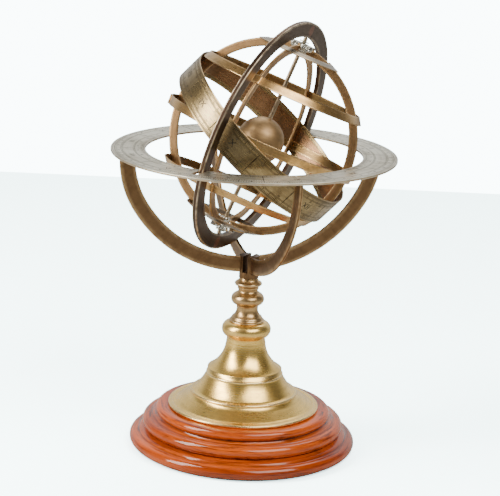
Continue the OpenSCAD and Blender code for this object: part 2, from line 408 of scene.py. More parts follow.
def brass(name, place, colour, tarnish=None, bright=None, roughness=0.32, cover=0.4, size=0.04,
          fineness=900.0, marks=0.12, wear=0.7, scales=(), grooves=False, inside=None, rivets=()):
    """Worked brass. The colour darkens to tarnish in clouds and thin marks that run round the piece,
    and brightens on worn edges; both come from the settings unless given. scales is a list of (axis,
    divisions, from, to, width) cut lines, where axis is radius or height; grooves darkens the attribute
    groove. inside is (colour, distance): the colour of the surface nearer to the place's centre than
    the distance. rivets is a list of (centre, radius, colour) round marks."""
    tarnish, bright = tarnish or settings()[0].tarnish, bright or settings()[0].worn
    made, w = new_material(name)
    vector = place_coordinates(w, place)
    turning = w.group("Turning marks", turning_marks_group, Vector=vector, Fineness=fineness)["Marks"]
    patina = w.group("Patina", patina_group, Vector=vector, Size=size, Cover=cover)
    shade, cuts = tuple(colour), []
    if inside:
        away = w.add("ShaderNodeVectorMath", {0: vector}, operation="LENGTH").outputs["Value"]
        outer_face = w.between(away, inside[1] - 0.1 * MM, inside[1] + 0.1 * MM)
        shade = w.mix(outer_face, inside[0], shade)
    cloud = w.times(patina["Mask"], w.between(turning, 0.3, 0.7, 0.6, 0.9))
    for share in (cloud, w.times(patina["Speckle"], 0.3), w.between(turning, 0.42, 0.62, 0.0, marks)):
        shade = w.mix(share, shade, tarnish)
    for centre, radius, tint in rivets:
        off = w.add("ShaderNodeVectorMath", {0: vector, 1: centre}, operation="DISTANCE").outputs["Value"]
        off = w.plus(off, w.times(w.noise(vector, 500.0), 0.6 * radius))
        shade = w.mix(w.between(off, 1.1 * radius, 1.4 * radius, 0.85, 0.0), shade, tint)
    handled = w.between(w.noise(vector, 160.0), 0.3, 0.6, 0.25 * wear, wear)
    rubbed = w.times(w.attribute("edge"), handled)
    shade = w.mix(rubbed, shade, bright)
    rough = w.plus(roughness - 0.06, w.times(w.plus(turning, cloud), 0.12))
    rough = w.sum("SUBTRACT", rough, w.times(rubbed, 0.08))
    height = w.times(w.plus(turning, w.noise(vector, 420.0)), 0.5)
    if scales:
        across = {"radius": w.radius(w.apart(vector)), "height": w.apart(vector)[2]}
        for axis, divisions, start, end, width in scales:
            mask = w.group("Scale marks", scale_marks_group, Vector=vector, Across=across[axis],
                           Divisions=divisions, From=start, To=end, Width=width)["Mask"]
            cuts.append(w.times(mask, outer_face) if inside else mask)
    if grooves:
        cuts.append(w.attribute("groove"))
    if cuts:
        cut = reduce(lambda a, b: w.sum("MAXIMUM", a, b), cuts)
        shade = w.mix(w.times(cut, 0.9), shade, scaled(tarnish, 0.2))
        rough = w.plus(rough, w.times(cut, 0.25))
        height = w.sum("SUBTRACT", height, w.times(cut, 1.2))
    w.finish(w.add("ShaderNodeBsdfPrincipled", {"Base Color": shade, "Metallic": 1.0, "Roughness": rough,
                                                "Normal": w.bump(0.3, 0.1 * MM, height)}))
    return made


def engraved_ink(name):
    """The dark fill of engraved numbers: near-black patina with a little unevenness."""
    made, w = new_material(name)
    cloud = w.noise(w.position(), 300.0)
    shade = w.mix(w.between(cloud, 0.3, 0.7), (0.012, 0.01, 0.008), (0.04, 0.032, 0.022))
    w.finish(w.add("ShaderNodeBsdfPrincipled", {"Base Color": shade, "Metallic": 0.6, "Roughness": 0.55}))
    return made


def varnished_wood(name, colour, dark, light):
    """Turned wood under a thick varnish. The grain is noise stretched along the turning: it is read at
    (0.006 cos a, 0.006 sin a, z - r) for a point at angle a, radius r and height z, with thin dark
    streaks where it peaks. The varnish is the shader's coat."""
    made, w = new_material(name)
    parts = w.apart(w.position())
    radius = w.radius(parts)
    level = w.plus(w.sum("SUBTRACT", parts[2], radius), w.times(w.noise(w.position(), 14.0, 2.0), 0.01))
    cos, sin = (w.sum("DIVIDE", w.times(part, 0.006), radius) for part in parts[:2])
    stretched = w.add("ShaderNodeCombineXYZ", {0: cos, 1: sin, 2: level}).outputs[0]
    grain = w.noise(stretched, 420.0, 5.0, 0.6)
    broad = w.noise(stretched, 80.0, 3.0, 0.5)
    pores = w.noise(stretched, 1500.0, 2.0, 0.6)
    shade = w.mix(w.between(broad, 0.3, 0.7), light, tuple(colour))
    shade = w.mix(w.between(grain, 0.48, 0.7, 0.0, 0.8), shade, dark)
    shade = w.mix(w.between(pores, 0.56, 0.72, 0.0, 0.45), shade, dark)
    # painted shade: the colour darkens in the creases and under the bulges between tiers, where the attribute
    # groove is 1
    shade = w.mix(w.times(w.attribute("groove"), 0.9), shade, scaled(dark, 0.4))
    w.finish(w.add("ShaderNodeBsdfPrincipled", {
        "Base Color": shade, "Roughness": w.between(grain, 0.3, 0.7, 0.5, 0.6),
        "Normal": w.bump(0.15, 0.1 * MM, grain), "Coat Weight": 1.0, "Coat Roughness": 0.1,
        "Coat IOR": 1.5, "Specular IOR Level": 0.0}))
    return made


def felt(name, colour):
    """Short green felt: fine noise in its colour and a rough bump."""
    made, w = new_material(name)
    fibre = w.noise(w.position(), 2600.0, 4.0, 0.7)
    shade = w.mix(w.between(fibre, 0.3, 0.7), scaled(colour, 0.55), colour)
    w.finish(w.add("ShaderNodeBsdfPrincipled", {
        "Base Color": shade, "Roughness": 0.95, "Normal": w.bump(0.6, 0.3 * MM, fibre), "Sheen Weight": 0.4}))
    return made


def paint(piece, material):
    """Gives a piece, or a CAD node given by its name, its one material."""
    if isinstance(piece, str):
        piece = frame["nodes"][piece]
    piece.data.materials.clear()
    piece.data.materials.append(material)


# ---- pieces of the stand ----

def joined(*parts):
    """Rows of points in millimetres, joined into one outline in metres."""
    return np.concatenate([np.asarray(part, float) for part in parts]) * MM


def wood_outline(base_r, bottom, top):
    """Three stepped tiers with half-round edges and a cove between each pair. All in millimetres."""
    second_r, third_r = base_r - 9, base_r - 18.4
    tier_1, tier_2 = bottom + 9, bottom + 20.8
    recess_r, hole_r, recess_top = 13, 3.5, bottom + 10
    return joined(
        [(recess_r, bottom), (base_r - 8, bottom)], bulge(base_r, bottom, tier_1),
        [(base_r - 6.6, tier_1 + 0.3), (base_r - 6.9, tier_1 + 1.5), (base_r - 8.6, tier_1 + 1.9),
         (base_r - 11.2, tier_1 + 2.9)],
        bulge(second_r, tier_1 + 3, tier_2), [(second_r - 7.2, tier_2 + 0.15), (second_r - 7.6, tier_2 + 1)],
        bulge(third_r, tier_2 + 1.2, top), [(hole_r, top), (hole_r, recess_top), (recess_r, recess_top)])


def raised(bottom, *points):
    """Points (radius, height above the bottom), as (radius, height)."""
    return [(r, bottom + z) for r, z in points]


def foot_outline(rim_r, bottom, top):
    """A bell: a low cone inside a rounded rim, two raised ridges, a hollow flare and a thick collar.
    All in millimetres."""
    bore_r, collar_r, collar_half = 3.2, 17.5, 5.6
    return joined(
        [(bore_r, bottom), (rim_r - 4, bottom)],
        arc((rim_r - 1.2, bottom + 1.2), 1.2, -90, 75),
        arc((rim_r - 2.6, bottom + 1.5), 1.1, 80, 118, 5),
        raised(bottom, (rim_r - 4.2, 2.25), (rim_r - 6, 3.3), (45, 5.2), (41, 7.6), (38.1, 9.5)),
        arc((36.9, bottom + 10.9), 1.05, -35, 88, 9),
        raised(bottom, (36, 11.9), (34.6, 13.3), (32.2, 15.9), (30.2, 18.6), (28.6, 21.4), (27.7, 23.3)),
        arc((26.5, bottom + 24.5), 0.95, -22, 95, 9),
        arc((38.4, bottom + 49.6), 24.4, 241, 184, 26),
        [(collar_r - 4, top - 11.6), (collar_r - 3.7, top - 10.9)],
        arc((collar_r - collar_half, top - collar_half), collar_half, -68, 80, 22),
        arc((collar_r - 5.2, top - 0.6), 0.6, 60, 90, 4),
        [(bore_r, top)])


def column_outline(_, bottom, top):
    """The turned column, from a flared foot through a large bead and a small one to a plain neck.
    All in millimetres."""
    bore_r, neck_r = 3.0, 6.6
    return joined(
        [(bore_r, bottom), (12.2, bottom)],
        arc((12.1, bottom + 0.7), 0.6, -80, 80, 7), raised(bottom, (11.3, 1.8), (11.1, 2.7)),
        arc((14.6, bottom + 9.4), 7, 236, 176, 18), raised(bottom, (7.75, 11.8), (8.6, 12.6)),
        arc((7.4, bottom + 16.6), 4.3, -62, 64, 22),
        raised(bottom, (7.6, 21.6), (6.9, 22.5), (6.9, 23.6), (7.5, 24.0), (7.55, 25.2), (7.8, 25.8)),
        arc((8.6, bottom + 27.8), 1.15, -60, 60, 10),
        raised(bottom, (7.7, 29.8), (6.8, 30.9), (neck_r, 31.5)), [(neck_r, top), (bore_r, top)])


def turned_outline(node, shape):
    """The outline of a turned node, from one of the functions above and the node's own size."""
    return shape(*(value / MM for value in reach(node, STAND)[1:]))


def arm_points(turn, section, half_width, depth, side_r, level, root_r, steps=110):
    """A bar bent along two arcs in an upright plane: one centred on the stand's axis, one centred at
    the side on the level of the horizon ring. Section points are (outwards, sideways)."""
    base_r = (half_width ** 2 - 2 * half_width * side_r + depth ** 2) / (2 * (depth - side_r))
    side_x, base_rise = half_width - side_r, base_r - depth
    bend = math.atan2(base_rise, side_x)
    start = math.asin(root_r / base_r) - TAU / 4
    share = np.linspace(0, 1, steps)
    angle = start - share * start
    low = angle < -bend
    centre_x = np.where(low, 0.0, side_x)[:, None]
    centre_z = np.where(low, level + base_rise, level)[:, None]
    radius = np.where(low, base_r, side_r)[:, None] + section[None, :, 0]
    across = centre_x + radius * np.cos(angle)[:, None]
    height = centre_z + radius * np.sin(angle)[:, None]
    side = np.broadcast_to(section[None, :, 1], across.shape)
    cos, sin = math.cos(turn), math.sin(turn)
    return np.stack([across * cos - side * sin, across * sin + side * cos, height], -1)


def bent_rod(name, path, radius, body, slot):
    """A round rod whose middle follows path, a row of points in one upright plane. Each ring of its
    surface stands square to the path; the two ends are drawn in."""
    ahead = np.gradient(path, axis=0)
    ahead /= np.linalg.norm(ahead, axis=1, keepdims=True)
    side = np.cross(path[len(path) // 2] - path[0], path[-1] - path[0])
    side /= np.linalg.norm(side)
    up = np.cross(side, ahead)
    angle = np.linspace(0, TAU, 16, endpoint=False)
    size = radius * np.sqrt(np.clip(1 - np.abs(np.linspace(-1, 1, len(path))) ** 12, 0.06, 1))
    ring = np.cos(angle)[None, :, None] * side + np.sin(angle)[None, :, None] * up[:, None, :]
    return grid_object(name, path[:, None, :] + size[:, None, None] * ring, body, (), slot, wrap_u=False)


def softened_copy(node, name, body, width, slot):
    """A copy of a CAD node with its loose triangles merged and its sharp edges rounded."""
    piece = frame["nodes"][node].copy()
    piece.data = piece.data.copy()
    piece.parent = None
    piece.name = name
    for key in [key for key in piece.keys() if key.startswith("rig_")]:
        del piece[key]
    shell = bmesh.new()
    shell.from_mesh(piece.data)
    bmesh.ops.remove_doubles(shell, verts=shell.verts, dist=1e-6)
    bmesh.ops.dissolve_limit(shell, angle_limit=math.radians(1), verts=shell.verts, edges=shell.edges)
    shell.to_mesh(piece.data)
    shell.free()
    piece.data.shade_smooth()
    bevel = piece.modifiers.new("Rounded edges", "BEVEL")
    bevel.width = width
    bevel.segments = 2
    bevel.limit_method = "ANGLE"
    bevel.angle_limit = math.radians(35)
    bevel.harden_normals = True
    return settled(piece, body, (node,), slot)


# ---- the horizon ring ----

def slab_object(name, patches, top, bottom, body, replaces, slot, groove):
    """A flat piece between two height functions of the radius. patches are grids of level points whose
    shared edges have the same points; the points are merged, and every edge that only one cell uses
    gets an upright wall."""
    places, cells, offset = [], [], 0
    for patch in patches:
        cells.append(offset + grid_cells(*patch.shape[:2]))
        places.append(patch.reshape(-1, 2))
        offset += len(places[-1])
    points, cells = np.concatenate(places), np.concatenate(cells)
    _, first, merged = np.unique(np.round(points / (1e-3 * MM)).astype(np.int64), axis=0,
                                 return_index=True, return_inverse=True)
    points, cells = points[first], merged.reshape(-1)[cells]
    a, b, c = points[cells[:, 0]], points[cells[:, 1]], points[cells[:, 2]]
    area = (b[:, 0] - a[:, 0]) * (c[:, 1] - a[:, 1]) - (b[:, 1] - a[:, 1]) * (c[:, 0] - a[:, 0])
    cells[area < 0] = cells[area < 0][:, ::-1]
    sides = np.concatenate([cells[:, [i, (i + 1) % 4]] for i in range(4)])
    key = np.sort(sides, 1)
    _, index, uses = np.unique(key, axis=0, return_inverse=True, return_counts=True)
    rim = sides[uses[index.reshape(-1)] == 1]
    count = len(points)
    walls = np.stack([rim[:, 1], rim[:, 0], rim[:, 0] + count, rim[:, 1] + count], -1)
    radius = np.hypot(points[:, 0], points[:, 1])
    upper = np.column_stack([points, top(radius)])
    lower = np.column_stack([points, bottom(radius)])
    faces = np.concatenate([cells, (cells + count)[:, ::-1], walls])
    piece = new_object(name, np.concatenate([upper, lower]), faces.tolist())
    piece.data.shade_smooth()
    piece.data.set_sharp_from_angle(angle=math.radians(40))
    on_rim = np.zeros(count)
    on_rim[np.unique(rim)] = 1
    marked(piece, "groove", np.concatenate([groove(radius), np.zeros(count)]))
    marked(piece, "edge", np.concatenate([on_rim, on_rim]))
    return settled(piece, body, replaces, slot)


def grooved_radii(low, high, grooves, width, round_r, extra=(), spacing=1.2 * MM):
    """Radii from low to high that follow a rounded edge at both ends and the two sides and the middle
    of every groove, and that are never further apart than the spacing."""
    turn = np.linspace(0, TAU / 4, 5)
    edge = round_r * (1 - np.cos(turn))
    radii = [low + edge, high - edge, list(extra)]
    radii += [[g - width / 2, g, g + width / 2] for g in grooves]
    radii = np.unique(np.round(np.concatenate(radii), 8))
    filled = [radii[0]]
    for r in radii[1:]:
        steps = max(1, int(np.ceil((r - filled[-1]) / spacing)))
        filled.extend(np.linspace(filled[-1], r, steps + 1)[1:])
    return np.array(filled)


def groove_depth(radius, grooves, width):
    """1 in the middle of a groove and 0 from its sides outwards, falling straight between them."""
    distance = np.abs(np.asarray(radius)[..., None] - np.asarray(grooves)).min(-1)
    return np.clip(1 - 2 * distance / width, 0, 1)


def horizon_patches(radii, notch_half, notch_reach, columns):
    """Level grids of the ring: a half ring on each side, whose columns stand parallel to the notches
    beside them and point to the centre elsewhere, and a bridge past the end of each notch."""
    corner = math.hypot(notch_half, notch_reach)
    beside = notch_half * np.array([1.0, 1.5, 2.2, 3.0])
    clear = math.asin(beside[-1] / radii[0]) + math.radians(0.6)
    inner = np.linspace(-TAU / 4 + clear, TAU / 4 - clear, columns // 2)
    r = radii[:, None]
    angle = np.concatenate([-TAU / 4 + np.arcsin(beside / r), inner + 0 * r,
                            TAU / 4 - np.arcsin(beside[::-1] / r)], axis=1)
    half = np.stack([r * np.cos(angle), r * np.sin(angle)], -1)
    far = radii[radii > corner - 1e-9][:, None]
    x = np.linspace(-notch_half, notch_half, 5)[None, :]
    bridge = np.stack([np.broadcast_to(x, (len(far), 5)), np.sqrt(far ** 2 - x ** 2)], -1)
    bridge[0, :, 1] = notch_reach
    return [half, half * (-1, 1), bridge, bridge * (1, -1)]


def number_solids(labels, height, depth):
    """The solid outline of each short label, as (points, faces), centred on its own middle."""
    curve = bpy.data.curves.new("number", "FONT")
    curve.size = height
    curve.extrude = depth / 2
    curve.resolution_u = 2
    curve.align_x, curve.align_y = "CENTER", "CENTER"
    holder = bpy.data.objects.new("number", curve)
    bpy.context.scene.collection.objects.link(holder)
    made = {}
    for label in dict.fromkeys(labels):
        curve.body = label
        bpy.context.view_layer.update()
        solid = holder.evaluated_get(bpy.context.evaluated_depsgraph_get())
        mesh = solid.to_mesh()
        points = np.empty(len(mesh.vertices) * 3, np.float32)
        mesh.vertices.foreach_get("co", points)
        made[label] = points.reshape(-1, 3).astype(float), [list(p.vertices) for p in mesh.polygons]
        solid.to_mesh_clear()
    bpy.data.objects.remove(holder)
    bpy.data.curves.remove(curve)
    return made


def number_object(name, labels, height, depth, lay, body, ink):
    """Numbers in the middle of a dial's equal parts, as one piece. lay(angle, along, up, out) gives a
    point from the number's angle and its own three coordinates."""
    solids = number_solids(labels, height, depth)
    points, faces, count = [], [], 0
    for i, label in enumerate(labels):
        own, own_faces = solids[label]
        points.append(lay(TAU * (i + 0.5) / len(labels), *own.T))
        faces.extend([[i + count for i in face] for face in own_faces])
        count += len(own)
    piece = new_object(name, np.concatenate(points), faces)
    merged = bmesh.new()
    merged.from_mesh(piece.data)
    bmesh.ops.remove_doubles(merged, verts=merged.verts, dist=1e-3 * MM)
    merged.to_mesh(piece.data)
    merged.free()
    paint(settled(piece, body, (), "engraved_silvered_brass"), ink)


ROMAN = ("I", "II", "III", "IV", "V", "VI", "VII", "VIII", "IX", "X", "XI", "XII")
TO_THIRTY = [str(10 * (i % 3 + 1)) for i in range(36)]
TO_EIGHTY = [str(10 * (i % 9)) for i in range(36)]


# ---- strips and half rings of the sphere ----

def strip_size(node, place):
    """A hoop's own measures, found in its node: latitude, inner and outer distance from the centre
    along that latitude, and half its width."""
    local = local_points(node, place)
    section = np.stack([np.hypot(local[:, 0], local[:, 1]), local[:, 2]], -1)
    latitude = 0.0
    for _ in range(2):
        turned = tilted(section, -latitude)
        out, along = (turned.min(0) + turned.max(0)) / 2
        latitude += math.atan2(along, out)
    out, along = tilted(section, -latitude).T
    return latitude, out.min(), out.max(), (along.max() - along.min()) / 2


def tilted(section, latitude):
    """Section points (out from the centre, along the meridian) turned up to a latitude."""
    cos, sin = math.cos(latitude), math.sin(latitude)
    out, along = section.T
    return np.stack([out * cos - along * sin, out * sin + along * cos], -1)


def rough_field(points, size, seed):
    """Uneven values from -1 to 1 over space: products of two sines in random directions, and the same
    again half as large and half as strong."""
    rng = np.random.default_rng(seed)
    total = 0.0
    for fineness in (1, 2):
        part = 1.0
        for _ in range(2):
            direction = rng.normal(size=3)
            direction /= np.linalg.norm(direction)
            part = part * np.sin(points @ direction * TAU * fineness / size + rng.uniform(0, TAU))
        total = total + part / fineness
    return total / 1.5


# ---- settings ----

class ArmillaryMetals(bpy.types.PropertyGroup):
    """Colours of the brass, bronze, silver and wood."""

    polished: bpy.props.FloatVectorProperty(
        name="Polished brass", description="The foot", subtype="COLOR", default=(1.0, 0.68, 0.2))
    antique: bpy.props.FloatVectorProperty(
        name="Antique brass", description="Arms and column", subtype="COLOR", default=(0.225, 0.132, 0.064))
    strip: bpy.props.FloatVectorProperty(
        name="Strip brass", description="Tropics and equator", subtype="COLOR", default=(0.74, 0.47, 0.19))
    silvered: bpy.props.FloatVectorProperty(
        name="Silvered brass", description="Engraved faces", subtype="COLOR", default=(0.68, 0.66, 0.56))
    bronze: bpy.props.FloatVectorProperty(
        name="Dark bronze", description="Meridian ring", subtype="COLOR", default=(0.105, 0.068, 0.046))
    tarnish: bpy.props.FloatVectorProperty(
        name="Tarnish", description="What old brass darkens to", subtype="COLOR", default=(0.075, 0.04, 0.02))
    worn: bpy.props.FloatVectorProperty(
        name="Worn edges", description="Where handling keeps brass bright", subtype="COLOR",
        default=(0.72, 0.5, 0.26))
    solder: bpy.props.FloatVectorProperty(
        name="Solder", description="Lumps of solder at the poles", subtype="COLOR",
        default=(0.58, 0.575, 0.53))
    wood: bpy.props.FloatVectorProperty(
        name="Wood", description="The stained base", subtype="COLOR", default=(0.28, 0.036, 0.004))


class ArmillaryShape(bpy.types.PropertyGroup):
    """Sizes that the frame's nodes don't give."""

    edge_round: bpy.props.FloatProperty(
        name="Edge rounding", description="Radius on the edges of the flat rings", unit="LENGTH",
        default=0.35 * MM, min=0.05 * MM, max=0.7 * MM)
    groove_width: bpy.props.FloatProperty(
        name="Groove width", description="Width of the cut border lines", unit="LENGTH",
        default=0.5 * MM, min=0.2 * MM, max=0.8 * MM)
    groove_depth: bpy.props.FloatProperty(
        name="Groove depth", description="Depth of the cut border lines", unit="LENGTH",
        default=0.12 * MM, min=0.05 * MM, max=0.3 * MM)
    side_bend: bpy.props.FloatProperty(
        name="Arm side bend", description="Radius of the arms where they turn up", unit="LENGTH",
        default=70 * MM, min=60 * MM, max=74 * MM)
    notch_width: bpy.props.FloatProperty(
        name="Notch width", description="Width of the notches in the horizon ring", unit="LENGTH",
        default=4.6 * MM, min=4.4 * MM, max=6 * MM)
    notch_reach: bpy.props.FloatProperty(
        name="Notch reach", description="Radius at which the notches end", unit="LENGTH",
        default=89.8 * MM, min=88 * MM, max=91 * MM)
    obliquity: bpy.props.FloatProperty(
        name="Obliquity", description="Tilt of the zodiac band to the equator", subtype="ANGLE",
        default=math.radians(24.5), min=math.radians(23), max=math.radians(25))
    band_turn: bpy.props.FloatProperty(
        name="Band turn", description="Turn about the poles of the way the band is tilted", subtype="ANGLE",
        default=math.radians(-9), min=math.radians(-10), max=0.0)


class ArmillaryStage(bpy.types.PropertyGroup):
    """Camera, floor and lights."""

    azimuth: bpy.props.FloatProperty(
        name="Camera azimuth", description="Angle round the object from the front", subtype="ANGLE",
        default=math.radians(25.6))
    distance: bpy.props.FloatProperty(
        name="Camera distance", description="Level distance from the axis", unit="LENGTH", default=1.4)
    height: bpy.props.FloatProperty(
        name="Camera height", description="Height above the table", unit="LENGTH", default=0.51045)
    pitch: bpy.props.FloatProperty(
        name="Camera pitch", description="How far it looks down", subtype="ANGLE", default=0.2548)
    roll: bpy.props.FloatProperty(
        name="Camera roll", description="How far it leans to the left", subtype="ANGLE", default=0.0453)
    lens: bpy.props.FloatProperty(
        name="Focal length", description="In millimetres on a 36 mm sensor", default=147.8)
    table_back: bpy.props.FloatProperty(
        name="Table depth", description="From the axis to the table's far edge", unit="LENGTH", default=0.85)


def settings():
    """The three groups of settings on the scene."""
    scene = bpy.context.scene
    return scene.armillary_metals, scene.armillary_shape, scene.armillary_stage


# ---- operators, one for each group of pieces ----

class ARMILLARY_OT_wood_base(bpy.types.Operator):
    """Turn the varnished wood base and lay the felt under it"""

    bl_idname = "armillary.wood_base"
    bl_label = "Wood base"

    def execute(self, context):
        metals = settings()[0]
        outline = turned_outline("wood_base", wood_outline)
        piece = grid_object("turned_base", around(STAND, outline, 256), "stand", ("wood_base",),
                            "turned_wood")
        # groove marks the inward creases of the outline, where the wood gets painted shade
        marked(piece, "groove", np.tile(outward(outline, -1), 256))
        paint(piece, varnished_wood("Varnished wood", metals.wood, dark=(0.05, 0.005, 0.001),
                                    light=(0.56, 0.095, 0.008)))
        paint("felt_pad", felt("Green felt", (0.03, 0.1, 0.05)))
        return {"FINISHED"}


class ARMILLARY_OT_foot(bpy.types.Operator):
    """Turn the bell foot and the column on it"""

    bl_idname = "armillary.foot"
    bl_label = "Foot and column"

    def execute(self, context):
        metals = settings()[0]
        outline = turned_outline("foot", foot_outline)
        foot = grid_object("bell_foot", around(STAND, outline, 192), "stand", ("foot",), "polished_brass",
                           outward(outline))
        paint(foot, brass("Polished brass", STAND, metals.polished, (0.34, 0.2, 0.05), (1.0, 0.88, 0.6),
                          roughness=0.27, cover=0.28, size=0.045, fineness=1200.0, marks=0.15, wear=0.5))
        outline = turned_outline("column", column_outline)
        column = grid_object("turned_column", around(STAND, outline, 128), "stand", ("column",),
                             "antique_brass", outward(outline))
        paint(column, brass("Column brass", STAND, (0.64, 0.43, 0.2), (0.24, 0.13, 0.05), (0.9, 0.7, 0.42),
                            roughness=0.3, cover=0.3, size=0.02, fineness=1500.0, marks=0.25))
        return {"FINISHED"}


class ARMILLARY_OT_cradle(bpy.types.Operator):
    """Bend the four arms and dress the slotted head they spring from"""

    bl_idname = "armillary.cradle"
    bl_label = "Cradle"

    def execute(self, context):
        metals, shape, _ = settings()
        horizon_bottom = reach("horizon_ring", STAND)[2]
        for side, quarter in (("east", -1), ("north", 1), ("west", 3), ("south", 5)):
            node = "cradle_arm_" + side
            turn = quarter * TAU / 8
            place = turned_place(STAND, 2, turn)
            local = local_points(node, place)
            (root_r, _, lowest), (outer, _, _) = local.min(0), local.max(0)
            thick = np.ptp(local[:, 1])
            width = outer - local[np.abs(local[:, 2] - horizon_bottom) < 1e-5][:, 0].min()
            section, edge = box_section(-width, 0, -thick / 2, thick / 2, shape.edge_round)
            points = arm_points(turn, section, outer, horizon_bottom - lowest, shape.side_bend,
                                horizon_bottom, root_r)
            arm = grid_object("arm_" + side, points, "stand", (node,), "antique_brass", edge, False)
            paint(arm, brass("Arm brass " + side, place, metals.antique, roughness=0.38, cover=0.3,
                             size=0.05, fineness=300.0, marks=0.08, wear=0.6))
        middle_x, middle_y, middle_z, half_length, half_height = 9.4, -2.6, -0.6, 3.6, 2.6
        bend = np.radians(np.linspace(200, 375, 40))
        path = np.stack([middle_x + half_length * np.cos(bend), np.full(40, middle_y),
                         middle_z + half_height * np.sin(bend)], -1) * MM
        path[:, 2] += reach("cradle_head", STAND)[3]
        hook = bent_rod("cradle_hook", path, 0.7 * MM, "stand", "antique_brass")
        paint(hook, brass("Hook brass", STAND, (0.85, 0.8, 0.66), metals.antique, (0.95, 0.9, 0.78),
                          roughness=0.2))
        head = softened_copy("cradle_head", "slotted_head", "stand", 0.3 * MM, "antique_brass")
        paint(head, brass("Head brass", STAND, metals.antique, roughness=0.34, cover=0.5, size=0.012,
                          fineness=700.0))
        return {"FINISHED"}


# Radii of the border lines, then each scale's axis, divisions, start, end and width, in millimetres
HORIZON_LINES = (77.3, 78.2, 83.4, 84.2, 92.2, 93.0, 97.4, 98.6)
HORIZON_SCALES = (("radius", 360, 95.6, 97.4, 0.4), ("radius", 72, 94.6, 97.4, 0.5),
                  ("radius", 36, 93.0, 97.4, 0.55), ("radius", 12, 78.2, 92.2, 0.7),
                  ("radius", 180, 78.2, 79.8, 0.4), ("radius", 360, 91.0, 92.2, 0.4))


def in_metres(scales):
    """The scales with their three lengths turned from millimetres to metres."""
    return [(axis, divisions, *(value * MM for value in lengths)) for axis, divisions, *lengths in scales]


class ARMILLARY_OT_horizon(bpy.types.Operator):
    """Cut the horizon ring, its border lines, its scales and its numbers"""

    bl_idname = "armillary.horizon"
    bl_label = "Horizon ring"

    def execute(self, context):
        metals, shape, _ = settings()
        bore, outer, bottom, top = reach("horizon_ring", STAND)
        lines = [r * MM for r in HORIZON_LINES]
        corner = math.hypot(shape.notch_width / 2, shape.notch_reach)
        radii = grooved_radii(bore, outer, lines, shape.groove_width, shape.edge_round, [corner])
        patches = horizon_patches(radii, shape.notch_width / 2, shape.notch_reach, 360)
        lip = shape.edge_round

        def rounding(r):
            near = np.clip(lip - np.minimum(r - bore, outer - r), 0, lip)
            return lip - np.sqrt(np.maximum(lip ** 2 - near ** 2, 0))

        def groove(r):
            return groove_depth(r, lines, shape.groove_width)

        ring = slab_object("engraved_horizon", patches,
                           lambda r: top - rounding(r) - shape.groove_depth * groove(r),
                           lambda r: bottom + rounding(r), "stand", ("horizon_ring",),
                           "engraved_silvered_brass", groove)
        paint(ring, brass("Engraved horizon", STAND, metals.silvered, (0.2, 0.17, 0.11), roughness=0.36,
                          cover=0.35, fineness=700.0, wear=0.6, scales=in_metres(HORIZON_SCALES),
                          grooves=True))

        ink = engraved_ink("Engraved ink")
        for name, labels, radius, size in (("horizon_degrees", TO_EIGHTY, 94.6 * MM, 2.2 * MM),
                                           ("horizon_months", ROMAN, 87.8 * MM, 5.2 * MM),
                                           ("horizon_days", TO_THIRTY, 81.2 * MM, 2.4 * MM)):
            def lay(angle, along, up, out, radius=radius):
                return round_axis(STAND, angle - along / radius, radius + up, top + out)

            number_object(name, labels, size, 0.05 * MM, lay, "stand", ink)
        return {"FINISHED"}


class ARMILLARY_OT_meridian(bpy.types.Operator):
    """Sweep the heavy meridian ring and dress its bushes"""

    bl_idname = "armillary.meridian"
    bl_label = "Meridian ring"

    def execute(self, context):
        metals, shape, _ = settings()
        bore, outer, low, high = reach("meridian_ring", MERIDIAN)
        section, edge = box_section(bore, outer, low, high, 1.5 * shape.edge_round, 5, 8)
        middle_r, rivet_r, rivet_colour = (bore + outer) / 2, 4.2 * MM, (0.2, 0.09, 0.06)
        worn = edge * np.where(section[:, 0] > middle_r, 1.0, 0.45)
        ring = grid_object("bronze_meridian", around(MERIDIAN, section, 384), "meridian", ("meridian_ring",),
                           "dark_bronze", worn)
        paint(ring, brass("Dark bronze", MERIDIAN, metals.bronze, (0.06, 0.036, 0.024), (0.72, 0.6, 0.44),
                          roughness=0.36, cover=0.45, fineness=800.0, marks=0.3, wear=0.8,
                          rivets=[((sign * middle_r, 0.0, face), rivet_r, rivet_colour)
                                  for sign in (1, -1) for face in (low, high)]))
        bush = brass("Bush copper", ROD, (0.42, 0.2, 0.12), (0.12, 0.05, 0.03), roughness=0.35)
        for node in ("pole_bush_north", "pole_bush_south"):
            paint(node, bush)
        return {"FINISHED"}


class ARMILLARY_OT_axis(bpy.types.Operator):
    """Turn the axis rod and the earth ball"""

    bl_idname = "armillary.axis"
    bl_label = "Axis and earth"

    def execute(self, context):
        metals = settings()[0]
        rod_r, hole_edge_r = 1.5 * MM, 2 * MM
        _, ball_r, low, high = reach("earth_ball", ROD)
        top = 90 - math.degrees(math.asin(hole_edge_r / ball_r))
        outline = arc((0, (low + high) / 2), ball_r, -top, top, 96)
        bore = np.array([[rod_r, outline[-1, 1] - 0.4 * MM], [rod_r, outline[0, 1] + 0.4 * MM]])
        outline = np.concatenate([outline, bore])
        ball = grid_object("turned_earth", around(ROD, outline, 128), "axis", ("earth_ball",), "ball_brass")
        paint(ball, brass("Ball brass", ROD, (0.42, 0.28, 0.14), (0.24, 0.15, 0.075), roughness=0.44,
                          cover=0.35, size=0.03, marks=0.15))
        paint("axis_rod", brass("Rod brass", ROD, (0.42, 0.33, 0.22), roughness=0.34, size=0.01,
                                fineness=500.0))
        for node in ("pole_washer_north", "pole_washer_south"):
            paint(node, brass(node.replace("_", " "), ROD, metals.silvered, size=0.005))
        return {"FINISHED"}


# Each hoop and where its ends lap, in degrees round the poles
HOOPS = (("tropic_north", 266), ("tropic_south", 265), ("polar_ring_north", 40), ("polar_ring_south", 140),
         ("equator_ring", 200))


